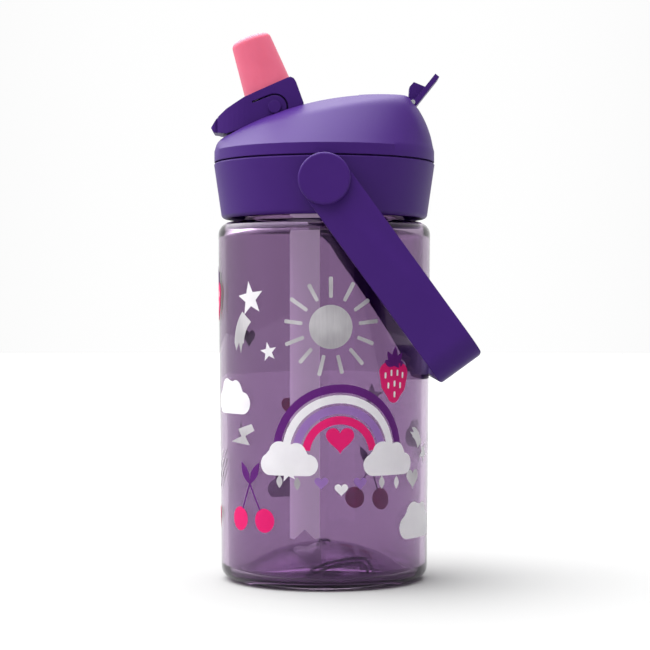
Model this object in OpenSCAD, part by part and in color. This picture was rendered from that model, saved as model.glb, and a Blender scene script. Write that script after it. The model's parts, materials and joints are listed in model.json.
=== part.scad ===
// Kids' water bottle: clear body, screw cap with a flip-up spout, a vent flap and a swinging bail handle.
// Millimetres. +Z runs up the bottle's axis from the plane it stands on, -X is the front where the
// spout leans, and the handle turns about an axis along Y.

/* [Bottle] */
// Outer diameter of the body just under the shoulder
body_d = 74; // [70:1:90]
// How much the body's radius shrinks down to the foot
body_taper = 1.1; // [0:0.1:2]
// Height of the shoulder above the table
shoulder_z = 123.8; // [105:1:150]
// Thickness of the body's wall
wall = 2.3; // [1.8:0.1:2.8]
// Radius of the rounded foot and shoulder corners
corner_r = 4.4; // [3.6:0.1:5.2]
// Height of the raised middle under the foot
punt_h = 9.5; // [6:0.5:12]
// Lead of the screw thread, its climb in one turn
thread_lead = 4.5; // [4:0.1:5.4]
// Turns of thread ridge on the neck and in the cap
thread_turns = 1.25; // [1:0.05:1.5]

/* [Cap] */
// How far the cap's widest line stands out beyond the body
cap_overhang = 1.5; // [1:0.1:2.5]
// Height of the skirt, from its lower edge to the seam
skirt_h = 19.2; // [18:0.2:24]
// Width of the shadow gap between skirt and dome
seam_gap = 0.5; // [0.3:0.1:0.8]
// Height of the upright band at the foot of the dome
band_h = 3.7; // [3:0.1:5]
// Radius of the dome's broad crown
crown_r = 107; // [90:1:130]
// Tilt of the crown down towards the front, in degrees
crown_tilt = 12.6; // [10:0.2:14]
// Radius that rounds the crown into the side
crown_fillet = 8.5; // [7:0.1:10.2]
// Radius of the curve down the dome's rear
rear_r = 34; // [28:1:37]
// Thickness of the cap's mouldings
cap_wall = 2; // [1.6:0.1:2.4]

/* [Handle] */
// Distance from the pivot to the outside of the crossbar
handle_reach = 77.2; // [70:0.5:93]
// Width of the strap
handle_w = 17; // [14:0.5:18]
// Thickness of the strap
handle_t = 2.8; // [2.2:0.1:3.4]
// Inside radius of the two bends
handle_bend_r = 7; // [5:0.5:10]
// Diameter of the round pivot caps
knob_d = 17.3; // [16:0.1:18]
// Diameter of the journal that the handle turns on
journal_d = 8; // [6:0.2:9]

/* [Spout] */
// Length from the hinge line to the tip
spout_len = 26.8; // [22:0.2:32.2]
// Diameter at the tip
spout_tip_d = 14.2; // [12:0.1:15]
// Lean towards the front when open, in degrees
spout_lean = 19.5; // [15:0.5:24]
// Diameter of the hollow barrel that the spout turns on
barrel_d = 11.2; // [10:0.1:12]
// Diameter of the drinking channel
bore_d = 4.8; // [4:0.1:5.4]
// Diameter of the two hinge bosses
boss_d = 4.4; // [3.6:0.1:5.2]

/* [Vent flap] */
// Length from the hinge line to the free edge
flap_len = 12.9; // [11:0.1:13.4]
// Width of the flap
flap_w = 12; // [10:0.2:13]
// Thickness of the flap's plate
flap_t = 1.75; // [1.4:0.05:2.1]
// Angle of the open flap above the horizontal, in degrees
flap_open = 51.5; // [45:0.5:58]
// Diameter of the hinge pin
pin_d = 1.6; // [1.3:0.1:1.9]

/* [Straw] */
// Outer diameter of the straw
straw_d = 10.5; // [9:0.1:11]
// Distance of the straw's axis in front of the bottle's axis
straw_x = 6.8; // [5:0.1:9]
// Height of the straw's lower end above the inside floor
straw_clear = 1.2; // [1:0.1:4]

/* [Fits] */
// Radial clearance of parts that turn on each other
run_fit = 0.06; // [0.03:0.01:0.1]
// Gap beside faces that pass each other
side_gap = 0.4; // [0.3:0.05:0.6]

/* [Hidden] */

$fn = 96;
eps = 0.05;

PURPLE = [0.29, 0.19, 0.47];
CLEAR_PURPLE = [0.62, 0.52, 0.68, 0.5];
PINK = [0.87, 0.41, 0.53];
SILICONE = [0.88, 0.88, 0.9];
SMOKE = [0.7, 0.68, 0.74, 0.7];
STEEL = [0.75, 0.76, 0.78];

// bottle
body_r = body_d / 2;
foot_r = body_r - body_taper;
neck_r = body_r - 9;
neck_in_r = neck_r - 2.4;
floor_t = 2.6;
foot_ring_r = foot_r - corner_r - 3.6;
punt_top = 0.8;
thread_depth = 1.2;
thread_z = shoulder_z + 6.9;

// cap, from the lower edge up
cap_r = body_r + cap_overhang;
skirt_z = shoulder_z + 1.2;
seam_z = skirt_z + skirt_h;
deck_t = 2.4;
deck_top = seam_z - 0.5;
deck_z = deck_top - deck_t;
gasket_t = 1.7;
gasket_gap = 0.05;
rim_z = deck_z - gasket_t - 2 * gasket_gap;
collar_in_r = neck_r + 1.6;
collar_r = collar_in_r + 2.3;
collar_z = skirt_z + 2.2;
skirt_low_r = cap_r - 2.5;
dome_z = seam_z + seam_gap;
crease_z = dome_z + band_h;

// crown: a lens about a tilted axis, whose rim ring is carried a little above the crease
ring_r = 0.81 * cap_r;
ring_x = -0.023 * cap_r;
ring_z = crease_z + 4.2;
crown_squeeze = 0.72;
crown_sink = sqrt(pow(crown_r - crown_fillet, 2) - pow(ring_r, 2));

// handle pivot and the angle at which the crossbar comes to lie against the body
pivot_z = skirt_z + 0.573 * skirt_h;
pad_y = cap_r + 0.5;
eye_y = pad_y + 0.15;
knob_y = eye_y + handle_t + 0.15;
knob_t = 2;
stem_d = 6;
stem_len = 5.5;
reach_in = handle_reach - handle_t;
function body_r_at(z) = foot_r + body_taper * min(1, z / shoulder_z);
function rest_angle(r) = acos((r + 0.3) / norm([reach_in, handle_w / 2])) - atan(handle_w / 2 / reach_in);
first_rest = rest_angle(body_r);
handle_rest = rest_angle(body_r_at(pivot_z - reach_in * sin(first_rest)));

// spout hinge, its barrel and the feed pipe under it
hinge_x = -(cap_r - 21.4);
hinge_z = crease_z + 14.7;
barrel_r = barrel_d / 2;
carrier_w = 20.4;
cheek_t = 1.5;
channel_w = carrier_w + 2 * side_gap;
swing_r = 13.7;
spout_base_r = spout_tip_d / 2 + 1.5;
pipe_r = 4.6;
seal_r = 3.8;
head_r = 4.1;
slot_w = 0.6;
stub_r = bore_d / 2 + 1.6;
stub_len = 17;
seal_h = 3.4;
spigot_r = 3.9;
adapter_t = 6.5;
straw_in_r = straw_d / 2 - 1.15;
straw_hold = 7.5;

// vent flap
flap_x = cap_r - 7.9;
flap_z = crease_z + 16.6;
flap_barrel_r = 1.6;
nose_w = 7;
nose_h = 6;
nose_swing_r = 8;
vent_x = flap_x - 5.2;
valve_x = 16;
valve_stem_r = 1.5;

// ---------- shared shapes ----------

// Points of a circular arc from angle a0 to a1
function arc(cx, cy, r, a0, a1, n = 8) =
    [for (i = [0 : n]) let (a = a0 + (a1 - a0) * i / n) [cx + r * cos(a), cy + r * sin(a)]];

// A shape drawn in the XZ plane and given a width along Y, centred on y = 0
module across(width) {
    rotate([90, 0, 0]) linear_extrude(height = width, center = true) children();
}

// A cylinder along Y, centred on y = 0
module bar(r, width) {
    rotate([90, 0, 0]) cylinder(r = r, h = width, center = true);
}

// A cylinder along Y from y0 to y1
module peg(r, y0, y1) {
    translate([0, y0, 0]) rotate([-90, 0, 0]) cylinder(r = r, h = y1 - y0);
}

// The same thing on the +Y side and on the -Y side
module both_sides() {
    for (side = [0, 1]) mirror([0, side, 0]) children();
}

// A helical ridge of trapezium section that grows out of a wall and fades back into it
module helix_ridge(root_r, crest_r) {
    root_w = 2.2;
    crest_w = 1;
    per_turn = 60;
    fade_steps = 5;
    steps = ceil(thread_turns * per_turn);
    points = [
        for (i = [0 : steps])
            let (a = 360 * thread_turns * i / steps,
                 grown = 0.1 + 0.9 * min(1, i / fade_steps, (steps - i) / fade_steps),
                 top_r = root_r + (crest_r - root_r) * grown,
                 z = thread_lead * a / 360)
                for (p = [[root_r, -root_w / 2], [top_r, -crest_w / 2],
                          [top_r, crest_w / 2], [root_r, root_w / 2]])
                    [p[0] * cos(a), p[0] * sin(a), z + p[1]]
    ];
    sides = [
        for (i = [0 : steps - 1], k = [0 : 3])
            let (a = 4 * i + k, b = 4 * i + (k + 1) % 4)
                each [[a, b, b + 4], [a, b + 4, a + 4]]
    ];
    last = 4 * steps;
    ends = [[0, 3, 2], [0, 2, 1], [last, last + 1, last + 2], [last, last + 2, last + 3]];
    outward = crest_r > root_r;
    faces = [for (f = concat(sides, ends)) outward ? f : [f[0], f[2], f[1]]];
    polyhedron(points = points, faces = faces, convexity = 6);
}

// ---------- bottle ----------

// Height of the punt's sphere at radius r, for a punt that rises to top
function punt_z(r, top) =
    let (span = foot_ring_r, rise = top - punt_top, sphere_r = (span * span + rise * rise) / (2 * rise))
        top - sphere_r + sqrt(sphere_r * sphere_r - r * r);

module bottle_body() {
    inner_corner = corner_r - wall / 2;
    in_floor = punt_h + floor_t;
    outside = concat(
        [for (i = [0 : 10]) let (r = foot_ring_r * i / 10) [r, punt_z(r, punt_h)]],
        [[foot_ring_r + 0.8, 0]],
        arc(foot_r - corner_r, corner_r, corner_r, -90, 0),
        arc(body_r - corner_r, shoulder_z - corner_r, corner_r, 0, 90),
        arc(neck_r + 1.5, shoulder_z + 1.7, 1.5, 270, 180, 5),
        [[neck_r, rim_z - 0.6], [neck_r - 0.6, rim_z]]
    );
    inside = concat(
        [[neck_in_r + 0.5, rim_z], [neck_in_r, rim_z - 0.5]],
        arc(neck_in_r + 2, shoulder_z - wall + 2, 2, 180, 270, 5),
        arc(body_r - wall - inner_corner, shoulder_z - wall - inner_corner, inner_corner, 90, 0),
        arc(foot_r - wall - inner_corner, floor_t + inner_corner, inner_corner, 0, -90),
        [for (i = [10 : -1 : 0]) let (r = foot_ring_r * i / 10) [r, punt_z(r, punt_h) + floor_t]]
    );
    color(CLEAR_PURPLE) {
        difference() {
            union() {
                rotate_extrude() polygon(concat(outside, inside));
                translate([0, 0, in_floor - 0.4]) cylinder(r1 = 2.4, r2 = 1.7, h = 1.3);
                base_wedge();
            }
            translate([0, 0, punt_h - 1]) cylinder(r = 1.2, h = 1.6);
        }
        translate([0, 0, thread_z]) helix_ridge(neck_r - 0.5, neck_r + thread_depth);
    }
}

// A plain raised wedge on the inside floor, where the mould's mark sits
module base_wedge() {
    wedge_l = 20;
    wedge_y = -(foot_ring_r - 6.5);
    intersection() {
        translate([-4, wedge_y, 0]) linear_extrude(height = 20)
            polygon([[0, -0.6], [wedge_l, -2.4], [wedge_l, 2.4], [0, 0.6]]);
        rotate_extrude() polygon(concat(
            [for (i = [0 : 10]) let (r = foot_ring_r * i / 10) [r, punt_z(r, punt_h) + 0.6]],
            [for (i = [10 : -1 : 0]) let (r = foot_ring_r * i / 10) [r, punt_z(r, punt_h) + floor_t + 0.7]]
        ));
    }
}

// ---------- cap ----------

module cap_gasket() {
    color(SILICONE) translate([0, 0, rim_z + gasket_gap]) difference() {
        cylinder(r = collar_in_r - 0.3, h = gasket_t);
        translate([0, 0, -1]) cylinder(r = neck_in_r + 0.2, h = gasket_t + 2);
    }
}

// Skirt, threaded collar and deck in one moulding, with the feed pipe and the bosses for the handle
module cap_base() {
    low = 1.6;
    bevel = 0.4;
    thread_drop = 1.9;
    air_ring_r = 2.9;
    air_hole_r = 0.6;
    color(PURPLE) difference() {
        union() {
            rotate_extrude() polygon(concat(
                arc(skirt_low_r - low, skirt_z + low, low, -90, 0, 5),
                [[cap_r, seam_z - bevel], [cap_r - bevel, seam_z], [cap_r - cap_wall, seam_z],
                 [cap_r - cap_wall, deck_top], [0, deck_top], [0, deck_z],
                 [collar_in_r, deck_z], [collar_in_r, collar_z + 0.6], [collar_in_r + 0.6, collar_z],
                 [collar_r, collar_z], [collar_r, deck_z], [cap_r - cap_wall - 0.4, deck_z],
                 [skirt_low_r - cap_wall, skirt_z + 0.8]]
            ));
            translate([0, 0, thread_z - thread_drop])
                helix_ridge(collar_in_r + 0.5, collar_in_r - thread_depth);
            both_sides() handle_boss();
            feed_pipe();
        }
        translate([hinge_x, 0, deck_z - 1]) cylinder(r = spigot_r, h = 5);
        translate([hinge_x, 0, deck_z - 1]) cylinder(d = bore_d, h = 40);
        translate([hinge_x, 0, hinge_z]) bar(barrel_r + 0.5, 3 * pipe_r);
        translate([hinge_x, 0, hinge_z - barrel_r - seal_h + 1]) cylinder(r = seal_r, h = seal_h + 10);
        both_sides() translate([0, 0, pivot_z]) peg(stem_d / 2, pad_y - stem_len, pad_y + 1);
        translate([valve_x, 0, deck_z - 1]) {
            cylinder(r = valve_stem_r, h = deck_t + 2);
            for (a = [45 : 90 : 315]) rotate(a)
                translate([air_ring_r, 0, 0]) cylinder(r = air_hole_r, h = deck_t + 2, $fn = 24);
        }
    }
}

// Round pad that the handle's eye lies against, carried in to the threaded collar
module handle_boss() {
    pad_r = handle_w / 2 - 0.4;
    intersection() {
        translate([0, 0, pivot_z]) peg(pad_r, collar_r - 0.8, pad_y);
        translate([-50, 0, skirt_z + 0.8]) cube([100, 100, deck_top - skirt_z - 0.8]);
    }
}

module feed_pipe() {
    translate([hinge_x, 0, deck_top - eps]) {
        cylinder(r = pipe_r, h = hinge_z - deck_top - barrel_r + 1.2);
        cylinder(r1 = pipe_r + 1.6, r2 = pipe_r, h = 1.6);
    }
}

// Silicone sleeve in the top of the feed pipe, hollowed to the barrel that turns over it
module port_seal() {
    color(SILICONE) translate([hinge_x, 0, 0]) difference() {
        translate([0, 0, hinge_z - barrel_r - seal_h + 1]) cylinder(r = seal_r, h = seal_h + 1.4);
        translate([0, 0, hinge_z - 20]) cylinder(d = bore_d, h = 20);
        translate([0, 0, hinge_z]) bar(barrel_r + run_fit, 30);
    }
}

// Umbrella valve under the deck: it lets air in as water is drawn out
module vent_valve() {
    cap_h = 1.1;
    color(SILICONE) translate([valve_x, 0, 0]) {
        translate([0, 0, deck_z - cap_h]) cylinder(r1 = 2.6, r2 = 4.3, h = cap_h);
        translate([0, 0, deck_z - eps]) cylinder(r = valve_stem_r, h = deck_t + 2 * eps);
        translate([0, 0, deck_top]) cylinder(r1 = 2, r2 = 1.3, h = 1.6);
    }
}

// Outline of the lens that forms the crown, drawn to the right of its own axis
module lens_outline(sphere_r, fillet, rim_r) {
    sink = sqrt(pow(sphere_r - fillet, 2) - pow(rim_r, 2));
    join = atan2(rim_r, sink);
    polygon(concat(
        [[0, sphere_r - sink]],
        arc(0, -sink, sphere_r, 90 - 2, 90 - join, 5),
        arc(rim_r, 0, fillet, 90 - join - 10, -30, 10),
        [[0, -fillet / 2]]
    ));
}

module tilted_lens(sphere_r, fillet, rim_r) {
    translate([ring_x, 0, ring_z]) rotate([0, -crown_tilt, 0])
        rotate_extrude() lens_outline(sphere_r, fillet, rim_r);
}

// Body of revolution that limits the dome: upright at its foot and closing in above
module dome_limit() {
    rotate_extrude() polygon(concat(
        [[0, dome_z - 1], [cap_r - 0.1, dome_z - 1]],
        arc(cap_r - 0.1 - rear_r, dome_z, rear_r, 0, 58, 14),
        [[0, dome_z + rear_r]]
    ));
}

// The dome's outer form: an upright band, and walls that lean from its crease to the tilted crown
module dome_form() {
    intersection() {
        union() {
            hull() {
                translate([0, 0, crease_z - 0.2]) cylinder(r = cap_r - 0.1, h = 0.2);
                scale([1, crown_squeeze, 1]) tilted_lens(crown_r, crown_fillet, ring_r);
            }
            translate([0, 0, dome_z]) cylinder(r = cap_r - 0.1, h = band_h);
        }
        dome_limit();
    }
}

// Hollow of the dome: it follows the leaning walls, and a sphere under the crown closes it
module dome_cavity() {
    wide_r = cap_r - cap_wall - 2.1;
    attic_r = 0.48 * cap_r;
    translate([0, 0, dome_z - 2]) cylinder(r = wide_r, h = band_h + 2);
    intersection() {
        hull() {
            translate([0, 0, crease_z - eps]) cylinder(r = wide_r, h = eps);
            translate([attic_r / 2, 0, crease_z + 16]) cylinder(r = attic_r, h = eps);
        }
        translate([ring_x, 0, ring_z]) rotate([0, -crown_tilt, 0])
            translate([0, 0, -crown_sink]) sphere(r = crown_r - cap_wall - 1.2);
    }
}

// Space that the spout and its carrier lie and swing in, open at the top and at the front
module channel(width, grow) {
    under_gap = 0.9;
    tip_gap = 2.3;
    sill_z = crease_z + 5.2;
    floor_z = hinge_z - spout_base_r - under_gap;
    rear = hinge_x + spout_len + tip_gap;
    translate([hinge_x, -width / 2, floor_z - grow]) cube([rear + grow - hinge_x, width, 40]);
    translate([hinge_x, 0, hinge_z]) bar(swing_r + grow, width);
    translate([-cap_r - 10, -width / 2, sill_z - grow]) cube([cap_r + 10 + hinge_x, width, 40]);
}

// Space for the flap: a shallow seat, a step for its barrel and a round-backed pocket for its nose
module flap_seat() {
    seat_w = flap_w + 2 * side_gap;
    seat_z = flap_z + flap_barrel_r - flap_t - 0.4;
    pocket_z = flap_z + flap_barrel_r - nose_h - 0.4;
    front = flap_x - flap_len - 0.4;
    translate([front, -seat_w / 2, seat_z]) cube([60, seat_w, 30]);
    translate([flap_x - 2.2, -seat_w / 2, flap_z - flap_barrel_r - 0.3]) cube([60, seat_w, 30]);
    translate([front - 1.5, -4, seat_z + 0.8]) cube([6, 8, 30]);
    intersection() {
        translate([flap_x, 0, flap_z]) bar(nose_swing_r, nose_w + 2 * side_gap);
        translate([flap_x - 20, -20, pocket_z]) cube([20, 40, 30]);
    }
}

module cap_dome() {
    lip_r = cap_r - cap_wall - 0.3;
    vent_r = 0.8;
    pin_hole_w = 18.8;
    color(PURPLE) difference() {
        union() {
            intersection() {
                dome_form();
                difference() {
                    translate([-60, -60, dome_z]) cube([120, 120, 60]);
                    difference() {
                        dome_cavity();
                        channel(channel_w + 2 * cap_wall, 1.6);
                        translate([flap_x - flap_len - 2.4, -10.4, flap_z - 6.6]) cube([60, 20.8, 30]);
                    }
                }
            }
            translate([0, 0, deck_top]) difference() {
                cylinder(r = lip_r, h = dome_z - deck_top + 1);
                translate([0, 0, -1]) cylinder(r = lip_r - 1.8, h = 10);
            }
        }
        channel(channel_w, 0);
        flap_seat();
        translate([hinge_x, 0, dome_z]) cylinder(r = pipe_r + 0.3, h = 20);
        translate([hinge_x, 0, hinge_z]) bar(boss_d / 2 + run_fit, carrier_w + 4);
        translate([flap_x, 0, flap_z]) bar(pin_d / 2, pin_hole_w);
        translate([vent_x, 0, dome_z]) cylinder(r = vent_r, h = 30, $fn = 24);
    }
}

// ---------- straw ----------

// Offset elbow that carries the straw from the feed pipe to the middle of the bottle
module straw_adapter() {
    slab_r = 5.8;
    slab_z = deck_z - adapter_t;
    span = -straw_x - hinge_x;
    gallery_r = 2.2;
    color(SMOKE) difference() {
        union() {
            translate([hinge_x, 0, slab_z]) cylinder(r = slab_r, h = adapter_t);
            translate([-straw_x, 0, slab_z]) cylinder(r = slab_r, h = adapter_t);
            translate([hinge_x, -slab_r, slab_z]) cube([span, 2 * slab_r, adapter_t]);
            translate([hinge_x, 0, deck_z]) cylinder(r = spigot_r, h = 4);
            translate([-straw_x, 0, slab_z - straw_hold]) cylinder(r = straw_in_r, h = straw_hold + 1);
        }
        translate([hinge_x, 0, slab_z + adapter_t / 2]) cylinder(d = bore_d, h = 20);
        translate([hinge_x, 0, slab_z + adapter_t / 2]) rotate([0, 90, 0]) cylinder(r = gallery_r, h = span);
        translate([-straw_x, 0, slab_z - straw_hold - 1])
            cylinder(d = bore_d, h = straw_hold + 1 + adapter_t / 2);
    }
}

module straw() {
    low_z = punt_h + floor_t + straw_clear;
    high_z = deck_z - adapter_t;
    color(SMOKE) difference() {
        translate([-straw_x, 0, low_z]) cylinder(d = straw_d, h = high_z - low_z);
        translate([-straw_x, 0, low_z - 1]) cylinder(r = straw_in_r, h = high_z - low_z + 2);
        translate([-straw_x, 0, low_z]) rotate([0, 45, 0]) cube([5, 2 * straw_d, 5], center = true);
    }
}

// ---------- spout ----------

// Side view of the carrier about the hinge line: wing to the left, collar to the right
CARRIER_TOP = [[-22.3, -6.6], [-20.4, -3.6], [-16.8, -0.4], [-10.6, 3.5], [-4.4, 6.3], [4.4, 10.2]];
CARRIER_REAR = [[5.5, 10.5], [6.6, 10], [7.4, 8.7], [10, 1.5]];
CARRIER_UNDER = [[4.5, -4.6], [-4.5, -5.2], [-12, -7.6], [-16.5, -8.9], [-21.4, -8.3]];
CARRIER_ROOM = [[-18, -12], [-12.6, -3.2], [-10.2, 1.5], [-4.2, 4.4], [4.2, 8.2], [5.6, 8],
                [8.2, 1.2], [6, -12]];

module spout_axis() {
    rotate([0, -spout_lean, 0]) children();
}

// Plan view that rounds the wing off to a blunt tip
module wing_plan() {
    half = carrier_w / 2;
    tip_half = 5.4;
    polygon(concat(
        [[11, -half], [11, half], [-9, half]],
        [for (i = [0 : 6]) let (t = i / 6) [-9 - 10.6 * t, half - (half - tip_half - 1.5) * t * t]],
        arc(-20.8, tip_half - 1.5, 1.6, 60, 180, 4),
        arc(-20.8, 1.5 - tip_half, 1.6, 180, 300, 4),
        [for (i = [6 : -1 : 0]) let (t = i / 6) [-9 - 10.6 * t, -half + (half - tip_half - 1.5) * t * t]]
    ));
}

// U-shaped slot that frees the snap arm with the hinge boss on its round head
module snap_slot() {
    arm_l = 6.6;
    arm_tilt = 21;
    across(carrier_w + 2) rotate(arm_tilt) difference() {
        union() {
            circle(r = head_r + slot_w);
            translate([-arm_l, -head_r - slot_w]) square([arm_l, 2 * (head_r + slot_w)]);
        }
        circle(r = head_r);
        translate([-arm_l - 1, -head_r]) square([arm_l + 1, 2 * head_r]);
    }
}

module spout_carrier() {
    plate_hole_r = spout_base_r + 0.15;
    cheek_y = carrier_w / 2 - cheek_t;
    chamber_r = bore_d / 2 + 0.7;
    color(PURPLE) translate([hinge_x, 0, hinge_z]) difference() {
        union() {
            difference() {
                intersection() {
                    across(carrier_w) polygon(concat(CARRIER_TOP, CARRIER_REAR, CARRIER_UNDER));
                    translate([0, 0, -20]) linear_extrude(height = 40) wing_plan();
                }
                across(carrier_w - 2 * cheek_t) polygon(CARRIER_ROOM);
                spout_axis() cylinder(r = plate_hole_r, h = 30);
                snap_slot();
                translate([3, -pipe_r - 0.5, -12]) cube([12, 2 * pipe_r + 1, 21.6]);
            }
            difference() {
                bar(barrel_r, cheek_y * 2);
                both_sides() peg(head_r + slot_w + 0.25, cheek_y - slot_w, cheek_y);
            }
            both_sides() peg(boss_d / 2, cheek_y, carrier_w / 2 + 1.8);
            spout_axis() translate([0, 0, 1]) cylinder(r = stub_r, h = stub_len - 1);
        }
        bar(chamber_r, 2 * chamber_r + 2);
        spout_axis() translate([0, 0, 1]) cylinder(d = bore_d, h = 40);
        translate([0, 0, -20]) cylinder(d = bore_d, h = 19);
    }
}

// Soft spout pushed over the carrier's stub, closed at the tip by a membrane with a cross slit
module bite_spout() {
    base_z = barrel_r + 0.2;
    tip_r = spout_tip_d / 2;
    lip = 2.2;
    color(PINK) translate([hinge_x, 0, hinge_z]) spout_axis() difference() {
        rotate_extrude() polygon(concat(
            [[stub_r, base_z], [spout_base_r - 0.3, base_z], [spout_base_r - 0.3, base_z + 1.4],
             [spout_base_r, base_z + 1.6]],
            arc(tip_r - lip, spout_len - lip, lip, 4, 90, 6),
            [[0, spout_len - 0.5], [0, spout_len - 1.9], [bore_d / 2, spout_len - 1.9],
             [bore_d / 2, stub_len + 0.2], [stub_r, stub_len + 0.2]]
        ));
        for (a = [0, 90]) rotate(a) translate([-3, -0.15, spout_len - 4]) cube([6, 0.3, 5]);
    }
}

// ---------- handle ----------

// The bail drawn along +X from its pivot: a band bent round in plan, cut to the strap's side view
module handle() {
    outer_y = eye_y + handle_t;
    outer_r = handle_bend_r + handle_t;
    half_w = handle_w / 2;
    tip_r = 1.6;
    color(PURPLE) translate([0, 0, pivot_z]) rotate([0, handle_rest, 0]) difference() {
        intersection() {
            linear_extrude(height = 60, center = true) difference() {
                bend_plan(handle_reach, outer_y, outer_r);
                bend_plan(reach_in, eye_y, handle_bend_r);
            }
            across(120) {
                circle(r = half_w);
                translate([0, -half_w]) square([handle_reach - tip_r, handle_w]);
                translate([0, tip_r - half_w]) square([handle_reach, handle_w - 2 * tip_r]);
                for (s = [-1, 1]) translate([handle_reach - tip_r, s * (half_w - tip_r)]) circle(r = tip_r);
            }
        }
        bar(journal_d / 2 + run_fit, 200);
    }
}

// Plan of one side of the bend: open to the left, with two rounded corners at the right
module bend_plan(reach, half, r) {
    polygon(concat(
        [[-60, -half]],
        arc(reach - r, r - half, r, -90, 0, 10),
        arc(reach - r, half - r, r, 0, 90, 10),
        [[-60, half]]
    ));
}

// Round cap, journal and stem of a handle pivot, on the side of +Y
module pivot_cap() {
    edge = 0.8;
    knob_r = knob_d / 2;
    color(PURPLE) translate([0, 0, pivot_z]) rotate([-90, 0, 0]) rotate_extrude() polygon(concat(
        [[0, pad_y - stem_len], [stem_d / 2, pad_y - stem_len], [stem_d / 2, pad_y],
         [journal_d / 2, pad_y], [journal_d / 2, knob_y], [knob_r, knob_y]],
        arc(knob_r - edge, knob_y + knob_t - edge, edge, 0, 90, 5),
        [[0, knob_y + knob_t]]
    ));
}

module pivot_cap_left() { mirror([0, 1, 0]) pivot_cap(); }

module pivot_cap_right() { pivot_cap(); }

// ---------- vent flap ----------

// Flap about its hinge line, drawn lying out along +X and then lifted to its open angle
module vent_flap() {
    nose = [[0.6, 0], [1.2, 4], [4.1, nose_h], [6.3, nose_h - 0.1], [7.5, flap_t], [7.5, 0]];
    color(PURPLE) translate([flap_x, 0, flap_z]) rotate([0, -flap_open, 0]) difference() {
        union() {
            bar(flap_barrel_r, flap_w);
            translate([0, 0, -flap_barrel_r]) {
                across(flap_w) square([flap_len, flap_t]);
                across(nose_w) polygon(nose);
            }
        }
        bar(pin_d / 2 + run_fit, 30);
    }
}

module flap_pin() {
    color(STEEL) translate([flap_x, 0, flap_z]) bar(pin_d / 2, 18.4);
}

bottle_body();
cap_gasket();
cap_base();
cap_dome();
port_seal();
vent_valve();
straw_adapter();
straw();
spout_carrier();
bite_spout();
handle();
pivot_cap_left();
pivot_cap_right();
vent_flap();
flap_pin();
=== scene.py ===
"""Looks of a kids' water bottle: a clear tinted body with printed motifs, a satin screw cap, a soft flip-up
spout, a vent flap and a bail handle. Metres, +Z up the bottle's axis, -X towards the open spout."""

import json
import math

import bpy
from mathutils import Matrix, Vector


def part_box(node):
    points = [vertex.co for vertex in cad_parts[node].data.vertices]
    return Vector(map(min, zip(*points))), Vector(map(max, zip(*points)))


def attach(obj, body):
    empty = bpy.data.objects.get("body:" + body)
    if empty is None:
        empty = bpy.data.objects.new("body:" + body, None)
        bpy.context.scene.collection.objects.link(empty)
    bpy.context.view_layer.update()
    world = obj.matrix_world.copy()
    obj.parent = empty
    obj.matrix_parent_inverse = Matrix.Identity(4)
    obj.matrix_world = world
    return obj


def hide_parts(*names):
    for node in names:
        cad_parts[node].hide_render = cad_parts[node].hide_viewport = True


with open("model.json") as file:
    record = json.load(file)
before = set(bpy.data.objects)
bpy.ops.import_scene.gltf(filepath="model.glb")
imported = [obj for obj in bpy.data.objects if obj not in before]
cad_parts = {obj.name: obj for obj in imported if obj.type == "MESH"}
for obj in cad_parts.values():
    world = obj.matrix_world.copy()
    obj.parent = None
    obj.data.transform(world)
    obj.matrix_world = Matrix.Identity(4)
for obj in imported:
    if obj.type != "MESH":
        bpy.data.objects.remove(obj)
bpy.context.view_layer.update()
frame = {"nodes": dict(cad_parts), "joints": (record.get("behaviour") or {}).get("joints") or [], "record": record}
bpy.ops.object.select_all(action="DESELECT")

MM = 0.001
UP = (0, 0, 1)
ALONG_X = (1, 0, 0)
ALONG_Y = (0, 1, 0)
JOINTS = {joint["name"]: joint for joint in frame["joints"]}


# ---------- sizes, from the frame where it states them ----------

_, body_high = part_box("bottle_body")
skirt_low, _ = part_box("cap_base")
dome_low, dome_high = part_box("cap_dome")
handle_low, handle_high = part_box("handle")

BODY_R = body_high.x
FOOT_R = BODY_R - 1.1 * MM
RIM_Z = body_high.z
SHOULDER_Z = skirt_low.z - 1.2 * MM
WALL = 2.3 * MM
CORNER_R = 4.4 * MM
RING_IN_R = FOOT_R - CORNER_R - 3.6 * MM  # where the foot ring ends and the punt starts
PUNT_H = 9.5 * MM
FLOOR_T = 2.6 * MM
NECK_R = BODY_R - 9 * MM
NECK_WALL = 2.4 * MM
THREAD_LEAD = 4.5 * MM
THREAD_TURNS = 1.25

CAP_R = dome_high.x + 0.1 * MM
DOME_Z = dome_low.z + 1.0 * MM
CREASE_Z = DOME_Z + 3.7 * MM
CROWN_TILT = math.radians(12.6)
RING_R = 0.81 * CAP_R
RING_X = -0.023 * CAP_R
RING_Z = CREASE_Z + 4.2 * MM
CROWN_R = 107 * MM
CROWN_FILLET = 8.5 * MM
CROWN_SQUEEZE = 0.72
REAR_R = 34 * MM
DOME_WALL = 3.2 * MM
LIP_GAP, LIP_WALL = 2.3 * MM, 1.8 * MM
PORT_R, TRUNNION_R, PIN_R, VENT_R = 4.9 * MM, 2.26 * MM, 0.8 * MM, 0.8 * MM  # bores in the dome

SPOUT_HINGE = Vector(JOINTS["spout_flip"]["pos_m"])
FLAP_HINGE = Vector(JOINTS["flap_turn"]["pos_m"])
HANDLE_PIVOT = Vector(JOINTS["handle_swing"]["pos_m"])
STRAP_REACH, STRAP_HALF_W, STRAP_CORNER_R = 77.2 * MM, 8.5 * MM, 1.6 * MM
STRAP_T, STRAP_BEND_R, STRAP_EDGE, EYE_R = 2.8 * MM, 8.4 * MM, 0.85 * MM, 4.06 * MM
CHANNEL_W = 21.2 * MM
SWING_R = 13.7 * MM


# ---------- modelling, as by hand ----------


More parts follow.
